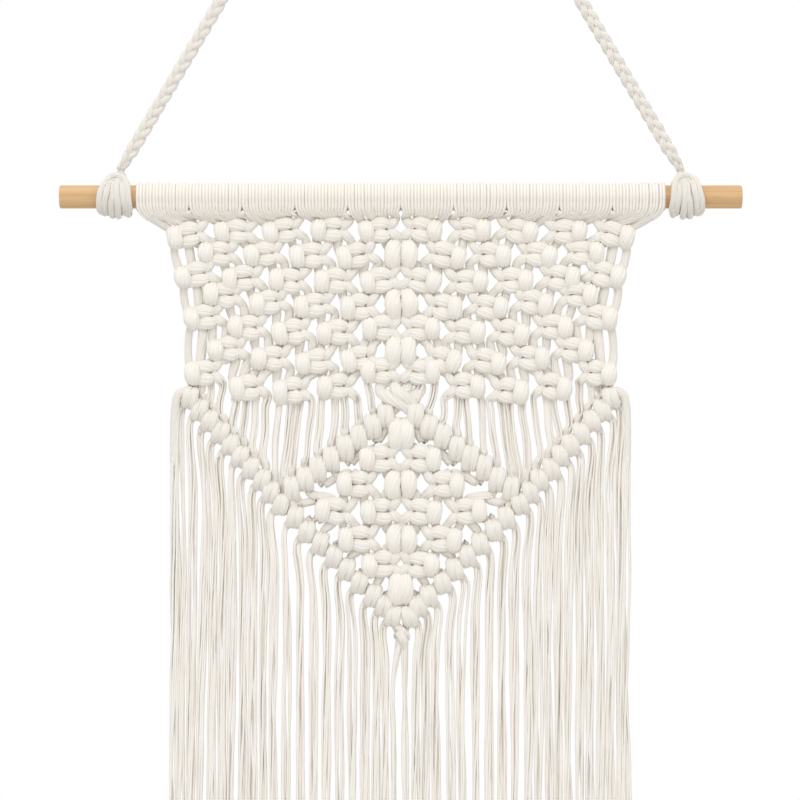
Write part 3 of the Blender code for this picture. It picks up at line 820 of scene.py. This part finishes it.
def beech():
    """Sanded beech: straight grain along X, small flecks, and rings on the sawn ends."""
    chosen = colours()
    paint = Paint(bpy.data.materials.new("rod_beech"))
    place = paint.node("ShaderNodeTexCoord")[3]
    grain = paint.noise(paint.stretch(place, GRAIN_SCALE), 1.0, 5.0)
    fleck = paint.noise(paint.stretch(place, FLECK_SCALE), 1.0, 2.0)
    broad = paint.noise(place, BROAD_SCALE, 2.0)
    _, y, z = paint.node("ShaderNodeSeparateXYZ", None, {0: place})
    above = z - (ROD_Z + RING_HEART)
    rings = ((y * y + above * above).root() * RING_TURNS).sine() * 0.5 + 0.5
    facing = paint.node("ShaderNodeSeparateXYZ", None, {0: paint.node("ShaderNodeNewGeometry")[1]})[0]
    end_mask = facing.size() ** 8.0
    streak = grain * (1 - end_mask) + rings * end_mask
    stops = ((0.32, tuple(chosen.wood_dark)), (0.66, tuple(chosen.wood_light)))
    tone = paint.node("ShaderNodeValToRGB", {"stops": stops}, {0: streak})[0]
    tone = paint.mix((fleck - 0.55) * 1.6, tone, (*[c * FLECK_SHADE for c in chosen.wood_dark], 1.0))
    tone = paint.mix(broad * 0.4, tone, (*chosen.wood_light, 1.0))
    return paint.finish({
        "Base Color": tone,
        "Roughness": grain * 0.25 + 0.42,
        "Normal": paint.bump(0.2, 0.2 * MM, grain + fleck * 0.4),
    })


def plain(name, colour, roughness):
    """A matt ground for the stage."""
    paint = Paint(bpy.data.materials.new(name))
    return paint.finish({"Base Color": (*colour, 1.0), "Roughness": roughness})


# ---- settings

def colour_property(name, description, default):
    """A colour setting."""
    return FloatVectorProperty(name=name, description=description, default=default, size=3,
                               subtype="COLOR", min=0.0, max=1.0)


def length_property(name, description, default):
    """A length setting, from millimetres."""
    return FloatProperty(name=name, description=description, default=default * MM, unit="LENGTH")


class MacrameSizes(PropertyGroup):
    """Sizes a maker would choose."""

    strand: length_property("Strand", "Diameter of one cotton strand", 1.7)
    plait_width: length_property("Plait", "Width of the plaited hanging cord", 8.0)
    camera_lens: FloatProperty(name="Lens", description="Focal length of the camera", default=150.0,
                               unit="CAMERA")
    view_width: length_property("View width", "Width of the picture at the panel", 516.8)
    view_drop: length_property("View drop", "Middle of the picture below the rod's axis", 131.1)


class MacrameColours(PropertyGroup):
    """Colours of the cord and the wood."""

    # cotton_light and cotton_shade are lit and shaded copies of the cotton; cotton_shade is the painted
    # shade in the grooves between plies and strands.
    cotton_light: colour_property("Cotton, lit", "Cotton on the top of a ply", (0.958, 0.925, 0.870))
    cotton_shade: colour_property("Cotton, between plies", "Cotton in the grooves", (0.89, 0.80, 0.64))
    cotton_warm: colour_property("Cotton, warm", "Patches of warmer cotton", (0.99, 0.98, 0.955))
    wood_light: colour_property("Wood, light", "Light beech", (0.74, 0.49, 0.25))
    wood_dark: colour_property("Wood, grain", "Grain of the beech", (0.56, 0.32, 0.13))
    key_power: FloatProperty(name="Key light", description="Power of the key light", default=15.0,
                             unit="POWER")


def sizes():
    """The scene's chosen sizes."""
    return bpy.context.scene.macrame_sizes


def colours():
    """The scene's chosen colours and light."""
    return bpy.context.scene.macrame_colours


# ---- operators

PANEL_MIDDLE_X = -0.5 * MM
FLOOR_SIZE = 8.0
FLOOR_CLEARANCE = 0.45  # how far the floor lies below the fringe
FLOOR_COLOUR = (0.72, 0.71, 0.70)
KEY_LIGHT = ((-0.45, -1.75, 1.75), 1.1)  # place from the panel's middle, and size
FILL_LIGHT = ((1.3, -1.6, 0.2), 1.4)
FILL_SHARE = 0.15
ROOM_TONES = ((0.1, (0.26, 0.24, 0.20)), (0.5, (0.78, 0.785, 0.80)), (0.9, (1.04, 1.045, 1.06)))
BACKDROP_EDGE = (0.93, 0.96)  # how nearly backwards a ray runs to meet the backdrop


class MACRAME_OT_stage(Operator):
    """Camera, soft lights, pale floor and white surroundings"""

    bl_idname = "macrame.stage"
    bl_label = "Stage"

    def execute(self, context):
        chosen = sizes()
        middle = Vector((PANEL_MIDDLE_X, PANEL_Y, ROD_Z - chosen.view_drop))
        data = bpy.data.cameras.new("camera")
        data.lens = chosen.camera_lens
        distance = chosen.view_width * data.lens / data.sensor_width
        camera = in_scene("camera", data)
        camera.location = middle - Vector((0, distance, 0))
        camera.rotation_euler = (math.pi / 2, 0, 0)
        context.scene.camera = camera

        floor_z = FRINGE_END + ROD_Z - FLOOR_CLEARANCE
        bpy.ops.mesh.primitive_grid_add(x_subdivisions=4, y_subdivisions=4, size=FLOOR_SIZE,
                                        location=(0, 0, floor_z))
        floor = context.active_object
        floor.name = "floor"
        floor.data.materials.append(plain("floor_pale", FLOOR_COLOUR, 0.9))

        power = colours().key_power
        self.light("key", middle, *KEY_LIGHT, power)
        self.light("fill", middle, *FILL_LIGHT, power * FILL_SHARE)
        self.surround(context)
        context.scene.view_settings.view_transform = "Standard"
        return {"FINISHED"}

    def light(self, name, middle, offset, size, power):
        """A square area light that looks at the panel."""
        data = bpy.data.lights.new(name, "AREA")
        data.energy = power
        data.size = size
        lamp = in_scene(name, data)
        lamp.location = middle + Vector(offset)
        lamp.rotation_euler = (middle - lamp.location).to_track_quat("-Z", "Y").to_euler()

    def surround(self, context):
        """A white backdrop far behind, and a dimmer room that is darker below."""
        context.scene.world = bpy.data.worlds.new("surround")
        paint = Paint(context.scene.world, "Background")
        direction = paint.node("ShaderNodeTexCoord")[0]
        _, behind, up = paint.node("ShaderNodeSeparateXYZ", None, {0: direction})
        room = paint.node("ShaderNodeValToRGB", {"stops": ROOM_TONES}, {0: up * 0.5 + 0.5})[0]
        low, high = BACKDROP_EDGE
        backdrop = paint.node("ShaderNodeMapRange", None, {0: behind, 1: low, 2: high})[0]
        paint.finish({"Color": paint.mix(backdrop, room, (1.0, 1.0, 1.0, 1.0))})


PLIES = 3
PLAIT_PITCH = 25 * MM  # length in which each ply comes back to its side
PLAIT_BEND = 16 * MM  # radius of the plait's middle line over the peg
FOOT_X = 181.2  # the plait's foot, in millimetres
FOOT_Z = 17.0
PLAIT_STEP = 1.8 * MM
PLAIT_NECK = 0.62  # width at the foot against full width
PLAIT_NECK_LENGTH = 16 * MM
PLY_SWING = (0.29, 0.14)  # how far a ply swings across and out, in plait widths
PLY_SIZE = (0.56, 0.48)  # a ply's width and depth, likewise


class MACRAME_OT_hanger(Operator):
    """Plaited hanging cord"""

    bl_idname = "macrame.hanger"
    bl_label = "Hanging cord"

    def execute(self, context):
        path = plait_path(*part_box("hanger_braid"))
        length, across, depth = plait_frames(path)
        work = CordMesh()
        width = sizes().plait_width
        near_end = np.minimum(length, length[-1] - length)
        full = PLAIT_NECK + (1 - PLAIT_NECK) * np.clip(near_end / PLAIT_NECK_LENGTH, 0, 1)
        for ply in range(PLIES):
            phase = length / PLAIT_PITCH * math.tau + ply * math.tau / PLIES
            side = full * PLY_SWING[0] * width * np.sin(phase)
            lift = full * PLY_SWING[1] * width * np.sin(2 * phase)
            middle = path + across * side[:, None] + depth * lift[:, None]
            size = np.stack([full * PLY_SIZE[0] * width, full * PLY_SIZE[1] * width], axis=1)
            line = np.hstack([middle, across, size])
            work.packed(line, cord_frames(line), ply)
        plait = work.build("hanging_plait", cotton("plait_cotton"))
        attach(plait, "root")
        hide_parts("hanger_braid")
        return {"FINISHED"}


def plait_path(low, high):
    """The plait's middle line: two straight legs joined by an arc over the peg."""
    radius = (high.y - low.y) / 2
    centre = Vector((0, 0, high.z - radius - PLAIT_BEND))
    foot = Vector((FOOT_X * MM, 0, ROD_Z + FOOT_Z * MM))
    reach = foot - centre
    facing = math.atan2(reach.z, reach.x) + math.acos(PLAIT_BEND / reach.length)
    touch = centre + PLAIT_BEND * Vector((math.cos(facing), 0, math.sin(facing)))
    count = math.ceil((touch - foot).length / PLAIT_STEP)
    right = [foot.lerp(touch, i / count) for i in range(count)]
    arc = math.ceil((math.pi / 2 - facing) * PLAIT_BEND / PLAIT_STEP)
    for i in range(arc):
        angle = facing + (math.pi / 2 - facing) * i / arc
        right.append(centre + PLAIT_BEND * Vector((math.cos(angle), 0, math.sin(angle))))
    left = [Vector((-p.x, 0, p.z)) for p in right]
    top = centre + Vector((0, 0, PLAIT_BEND))
    return np.array([tuple(p) for p in left + [top] + right[::-1]])


def plait_frames(path):
    """Length so far, across the plait in its own plane, and straight out of it."""
    length, along = length_and_course(path)
    depth = np.tile((0.0, -1.0, 0.0), (len(path), 1))
    return length, np.cross(along, depth), depth


# The tied end's plies: how far each stands along the rod from the knot's middle at the neck,
# over the rod, at its lobe below, and behind; how far it stands off the rod; and its width.
TiedPly = namedtuple("TiedPly", "neck over lobe behind off width")
TIED_PLIES = (
    TiedPly(-2.4, -4.6, -7.2, -6.5, 0.6, 4.2),
    TiedPly(-1.4, -2.6, -5.0, -3.6, 0.2, 3.6),
    TiedPly(0.0, -0.6, -1.9, -0.8, 2.4, 4.4),
    TiedPly(0.6, 1.6, 1.9, 1.4, 3.0, 4.4),
    TiedPly(1.6, 3.8, 6.4, 4.8, 0.6, 4.2),
    TiedPly(2.8, 5.8, 8.4, 7.4, 1.2, 4.0),
)
# The loop that closes over the fan's neck: across and up from the rod's axis, and forward.
TIED_LOOP = (
    (-8.4, -10.4, 0.0), (-9.6, -8.6, 8.2), (-9.2, -2.5, 11.4), (-7.8, 4.0, 11.4),
    (-5.4, 9.8, 8.8), (-1.6, 13.2, 6.2), (2.8, 13.4, 5.8), (6.4, 10.4, 8.0),
    (8.0, 5.0, 10.6), (8.6, -2.0, 11.4), (9.4, -8.0, 8.4), (8.4, -10.0, 1.0),
)
TIED_X = 184.0  # the tied end's middle, in millimetres
TIED_RIDGES = 9
PLY_DEPTH, PLY_OFF_ROD, PLY_DRIFT = 4.0, 1.9, 0.25
NECK_Z = 12.5
NECK_CLOSE = 0.4  # how much of its spread at the neck a ply keeps at the foot
LOOP_TURNS = (0.0, 3.2)  # how far inside the loop's line its two cords run
LOOP_CENTRE_Z = 3.0  # an arch above this height, straight legs below
LOOP_SIZE, LOOP_DRIFT = (4.4 * MM, 3.6 * MM), 0.2


class MACRAME_OT_hanger_knots(Operator):
    """The plait's ends tied round the rod"""

    bl_idname = "macrame.hanger_knots"
    bl_label = "Hanging cord's knots"

    def execute(self, context):
        finish = cotton("tied_plait_cotton")
        for side, word in ((-1, "left"), (1, "right")):
            work = CordMesh()
            rng = np.random.default_rng(TIED_SEED + side)
            for phase, keys in enumerate(tied_end(side, rng)):
                line = smooth_line(np.array(keys), ["knot"] * len(keys))[0]
                work.packed(line, cord_frames(line), phase, ridges=TIED_RIDGES)
            knot = work.build("tied_end_" + word, finish)
            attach(knot, "root")
            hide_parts("hanger_knot_" + word)
        return {"FINISHED"}


def tied_end(side, rng):
    """Keys of the plies that fan from the neck round the rod, and of the loop that holds them."""
    middle = side * TIED_X
    foot = side * FOOT_X
    ring = ROD_RADIUS / MM + PLY_OFF_ROD
    deep = PLY_DEPTH
    made = []
    for ply in TIED_PLIES:
        neck = foot - side * ply.neck
        top = foot + (neck - foot) * NECK_CLOSE
        over, lobe, behind = (middle - side * share for share in (ply.over, ply.lobe, ply.behind))
        out = ring + ply.off
        wide = ply.width
        places = (
            (top, -1.2, FOOT_Z, 0.4 * wide, 0.7 * deep),
            (neck, -4.2, NECK_Z, 0.7 * wide, deep),
            (over, -out * 0.86, 6.0, 0.95 * wide, deep),
            (over, -out - 0.3, 0.5, wide, deep),
            (lobe, -out * 0.95, -5.0, 1.05 * wide, 1.1 * deep),
            (lobe, -out * 0.45, -9.4 - ply.off, 1.0 * wide, 1.15 * deep),
            (lobe, out * 0.35, -9.6 - ply.off * 0.5, 0.9 * wide, deep),
            (behind, out * 0.9, -5.0, wide, deep),
            (behind, out, 1.0, wide, deep),
            (behind, out * 0.8, 7.0, 0.9 * wide, deep),
            (neck, 3.8, NECK_Z, 0.7 * wide, deep),
            (top, 1.2, FOOT_Z, 0.4 * wide, 0.7 * deep),
        )
        made.append([place_key(*place, rng) for place in places])
    for inward in LOOP_TURNS:
        made.append([loop_key(side, *place, inward, rng) for place in TIED_LOOP])
    return made


def place_key(x, y, z, width, depth, rng):
    """One key of a ply, in metres from millimetres; its flat lies along the rod."""
    dx, dz = rng.normal(0, PLY_DRIFT, 2)
    return ((x + dx) * MM, y * MM, (ROD_Z / MM + z + dz) * MM, 1.0, 0.0, 0.0, width * MM, depth * MM)


def loop_key(side, x, z, out, inward, rng):
    """One key of the loop, in metres; its flat faces the loop's middle."""
    up = max(z - LOOP_CENTRE_Z, 0.0)
    far = math.hypot(x, up)
    share = 1 - inward / far
    dx, dz = rng.normal(0, LOOP_DRIFT, 2)
    return ((side * TIED_X - side * (x * share + dx)) * MM, -(out + 0.15 * inward) * MM,
            (ROD_Z / MM + z - up * (1 - share) + dz) * MM,
            -side * x / far, 0.0, up / far, *LOOP_SIZE)


def add_panel_piece(name, sections, nodes, wanted=("left", "right")):
    """Build the sections' cords as one piece and say what it stands for."""
    work = CordMesh()
    for section in sections:
        add_section(work, section, wanted)
    finish = bpy.data.materials.get("panel_cotton") or cotton("panel_cotton")
    piece = work.build(name, finish)
    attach(piece, "root")
    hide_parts(*nodes)


class MACRAME_OT_heading(Operator):
    """Lark's heads on the rod"""

    bl_idname = "macrame.heading"
    bl_label = "Heading"

    def execute(self, context):
        add_panel_piece("heading_larks_heads", ["heading"], ["heading"])
        return {"FINISHED"}


class MACRAME_OT_net(Operator):
    """Upper net of alternating square knots and its loose cords"""

    bl_idname = "macrame.net"
    bl_label = "Upper net"

    def execute(self, context):
        for side in ("left", "right"):
            add_panel_piece("net_square_knots_" + side, ["net", "loose"], ["upper_net"], (side,))
        return {"FINISHED"}


class MACRAME_OT_crown(Operator):
    """The crown's rows of half hitches and the crossing above them"""

    bl_idname = "macrame.crown"
    bl_label = "Crown"

    def execute(self, context):
        nodes = ["hitch_crown_left", "hitch_crown_right", "crown_knot"]
        add_panel_piece("crown_half_hitches", ["crown"], nodes)
        return {"FINISHED"}


class MACRAME_OT_diamond(Operator):
    """Diamond of square knots"""

    bl_idname = "macrame.diamond"
    bl_label = "Diamond"

    def execute(self, context):
        add_panel_piece("diamond_square_knots", ["diamond"], ["diamond_net"])
        return {"FINISHED"}


class MACRAME_OT_v_rows(Operator):
    """The V's rows of half hitches and the knot at its point"""

    bl_idname = "macrame.v_rows"
    bl_label = "V"

    def execute(self, context):
        nodes = ["hitch_v_left", "hitch_v_right", "tip_knot"]
        add_panel_piece("v_half_hitches", ["v_row"], nodes)
        return {"FINISHED"}


class MACRAME_OT_fringe(Operator):
    """Fringe of loose strands with a level cut"""

    bl_idname = "macrame.fringe"
    bl_label = "Fringe"

    def execute(self, context):
        add_panel_piece("fringe_strands", ["fringe"], ["fringe"])
        return {"FINISHED"}


class MACRAME_OT_rod(Operator):
    """Beech finish on the rod"""

    bl_idname = "macrame.rod"
    bl_label = "Rod"

    def execute(self, context):
        finish = beech()
        for slot in frame["nodes"]["rod"].material_slots:
            slot.material = finish
        return {"FINISHED"}


STEPS = (
    MACRAME_OT_stage, MACRAME_OT_hanger, MACRAME_OT_hanger_knots, MACRAME_OT_rod, MACRAME_OT_heading,
    MACRAME_OT_net, MACRAME_OT_crown, MACRAME_OT_diamond, MACRAME_OT_v_rows, MACRAME_OT_fringe,
)


class MACRAME_PT_panel(Panel):
    """Sizes, colours and steps"""

    bl_idname = "MACRAME_PT_panel"
    bl_label = "Macrame wall hanging"
    bl_space_type = "VIEW_3D"
    bl_region_type = "UI"
    bl_category = "Macrame"

    def draw(self, context):
        column = self.layout.column()
        for group in (context.scene.macrame_sizes, context.scene.macrame_colours):
            for name in group.__annotations__:
                column.prop(group, name)
        for step in STEPS:
            column.operator(step.bl_idname)


CLASSES = (MacrameSizes, MacrameColours, *STEPS, MACRAME_PT_panel)


def register():
    """Add the settings, the steps and the panel to Blender."""
    for cls in CLASSES:
        bpy.utils.register_class(cls)
    bpy.types.Scene.macrame_sizes = PointerProperty(type=MacrameSizes)
    bpy.types.Scene.macrame_colours = PointerProperty(type=MacrameColours)


def unregister():
    """Take them out again."""
    del bpy.types.Scene.macrame_colours
    del bpy.types.Scene.macrame_sizes
    for cls in reversed(CLASSES):
        bpy.utils.unregister_class(cls)


def main():
    """Register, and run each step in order."""
    register()
    for step in STEPS:
        group, name = step.bl_idname.split(".")
        getattr(getattr(bpy.ops, group), name)()


if __name__ == "__main__":
    main()
